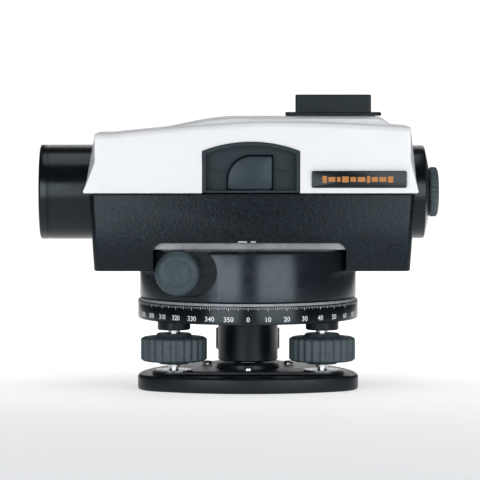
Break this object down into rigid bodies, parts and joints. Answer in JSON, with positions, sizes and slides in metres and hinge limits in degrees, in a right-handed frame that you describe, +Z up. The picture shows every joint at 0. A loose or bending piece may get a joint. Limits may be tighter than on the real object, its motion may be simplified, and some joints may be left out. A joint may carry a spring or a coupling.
{
  "type": "automatic level",
  "caption": "Surveyor's automatic level: telescope in a two-tone housing on a drum-shaped fine drive, a graduated circle and a levelling base with foot screws.",
  "frame": {"origin": "on the vertical axis, on the underside of the base plate", "axes": "+Z up; +X towards the eyepiece and -X towards the objective; -Y is the operator's left, the side with the circular level"},
  "size_m": [0.2003, 0.1202, 0.1468],
  "materials": {
    "black_plastic": "satin black",
    "slate_paint": "fine hammered dark slate",
    "white_plastic": "smooth cool white",
    "drum_paint": "smooth satin dark grey paint",
    "black_paint": "satin black paint",
    "knob_rubber": "matte grey, ribbed",
    "hood_plastic": "grey-teal, satin",
    "steel": "ground",
    "brass": "turned",
    "aluminium": "cast and milled",
    "lens_glass": "clear, coated",
    "friction_plastic": "hard fibre"
  },
  "bodies": {
    "base": {"base_plate": "black_paint", "spring_plate": "steel", "spring_plate_screw_1": "steel", "spring_plate_screw_2": "steel", "spring_plate_screw_3": "steel"},
    "tribrach": {"tribrach_body": "black_paint", "bearing_bush": "brass"},
    "foot_screw_1": {"foot_spindle_1": "steel", "foot_knob_1": "knob_rubber"},
    "foot_screw_2": {"foot_spindle_2": "steel", "foot_knob_2": "knob_rubber"},
    "foot_screw_3": {"foot_spindle_3": "steel"},
    "foot_screw_3_knob": {"foot_knob_3": "knob_rubber"},
    "circle": {"horizontal_circle": "black_plastic"},
    "drive_wheel": {"worm_wheel": "brass", "friction_ring": "friction_plastic"},
    "fine_drive": {"worm_shaft": "steel", "tangent_knob_front": "knob_rubber", "tangent_knob_rear": "knob_rubber"},
    "focus_drive": {"focus_pinion_shaft": "steel", "focusing_knob": "knob_rubber"},
    "focus_carriage": {"focusing_cell": "brass", "focusing_lens": "lens_glass", "focus_rack": "brass"},
    "compensator": {"pendulum": "brass", "pendulum_prism": "lens_glass"},
    "dioptre": {"dioptre_ring": "black_plastic"},
    "eyepiece": {"eyepiece_cell": "black_plastic", "field_lens": "lens_glass", "eye_lens": "lens_glass"},
    "instrument": {"drive_housing": "drum_paint", "vertical_spindle": "steel", "chassis": "aluminium", "lower_housing": "slate_paint", "top_cover": "white_plastic", "open_sight": "black_plastic", "sight_lens": "lens_glass", "label_plate": "black_plastic", "objective_barrel": "black_plastic", "objective_front_lens": "lens_glass", "objective_rear_lens": "lens_glass", "retaining_ring": "black_plastic", "telescope_tube": "black_paint", "reticle_cell": "brass", "reticle_glass": "lens_glass", "reticle_screw_upper": "steel", "reticle_screw_lower": "steel", "eyepiece_barrel": "black_paint", "rear_cap": "black_plastic", "compensator_frame": "aluminium", "roof_prism": "lens_glass", "suspension_ribbon_front": "steel", "suspension_ribbon_rear": "steel", "damper_cup": "brass", "bay_lining": "black_plastic", "bubble_cell": "black_plastic", "circular_vial": "lens_glass", "prism_hood": "hood_plastic", "viewing_prism": "lens_glass"}
  },
  "joints": [
    {"name": "levelling_tilt", "type": "hinge", "parent": "base", "child": "tribrach", "pos_m": [0, -0.02135, 0.0056], "axis": [1, 0, 0], "range_deg": [-1.34, 1.34]},
    {"name": "foot_screw_1_turn", "type": "hinge", "parent": "tribrach", "child": "foot_screw_1", "pos_m": [-0.03698, -0.02135, 0.0056], "axis": [0, 0, 1], "range_deg": [-540, 540]},
    {"name": "foot_screw_2_turn", "type": "hinge", "parent": "tribrach", "child": "foot_screw_2", "pos_m": [0.03698, -0.02135, 0.0056], "axis": [0, 0, 1], "range_deg": [-540, 540]},
    {"name": "foot_screw_3_lift", "type": "slide", "parent": "tribrach", "child": "foot_screw_3", "axis": [0, 0, 1], "range_m": [-0.00151, 0.00151]},
    {"name": "foot_screw_3_turn", "type": "hinge", "parent": "foot_screw_3", "child": "foot_screw_3_knob", "pos_m": [0, 0.0427, 0.0056], "axis": [0, 0, 1], "range_deg": [-542, 542]},
    {"name": "circle_turn", "type": "hinge", "parent": "tribrach", "child": "circle", "pos_m": [0, 0, 0.0397], "axis": [0, 0, 1], "continuous": true},
    {"name": "coarse_turn", "type": "hinge", "parent": "tribrach", "child": "drive_wheel", "pos_m": [0, 0, 0.06], "axis": [0, 0, 1], "continuous": true},
    {"name": "fine_turn", "type": "hinge", "parent": "drive_wheel", "child": "instrument", "pos_m": [0, 0, 0.06], "axis": [0, 0, 1], "continuous": true},
    {"name": "tangent_screw_turn", "type": "hinge", "parent": "instrument", "child": "fine_drive", "pos_m": [-0.0346, 0, 0.06], "axis": [0, 1, 0], "continuous": true},
    {"name": "focus_turn", "type": "hinge", "parent": "instrument", "child": "focus_drive", "pos_m": [0.0015, 0, 0.1119], "axis": [0, 1, 0], "range_deg": [-286.47, 286.47]},
    {"name": "focus_slide", "type": "slide", "parent": "instrument", "child": "focus_carriage", "axis": [1, 0, 0], "range_m": [-0.01, 0.01]},
    {"name": "compensator_swing", "type": "hinge", "parent": "instrument", "child": "compensator", "pos_m": [0.044, 0, 0.109], "axis": [0, 1, 0], "range_deg": [-1, 1]},
    {"name": "dioptre_turn", "type": "hinge", "parent": "instrument", "child": "dioptre", "pos_m": [0.0935, 0, 0.0978], "axis": [1, 0, 0], "range_deg": [-149, 149]},
    {"name": "eyepiece_slide", "type": "slide", "parent": "instrument", "child": "eyepiece", "axis": [1, 0, 0], "range_m": [-0.0015, 0.0015]}
  ],
  "couplings": [
    {"joint": "foot_screw_3_lift", "follows": "levelling_tilt", "m_per_rad": -0.06405},
    {"joint": "foot_screw_3_turn", "follows": "levelling_tilt", "ratio": -402.44},
    {"joint": "fine_turn", "follows": "tangent_screw_turn", "ratio": -0.013889},
    {"joint": "focus_slide", "follows": "focus_turn", "m_per_rad": -0.002},
    {"joint": "eyepiece_slide", "follows": "dioptre_turn", "m_per_rad": 0.00057296}
  ]
}
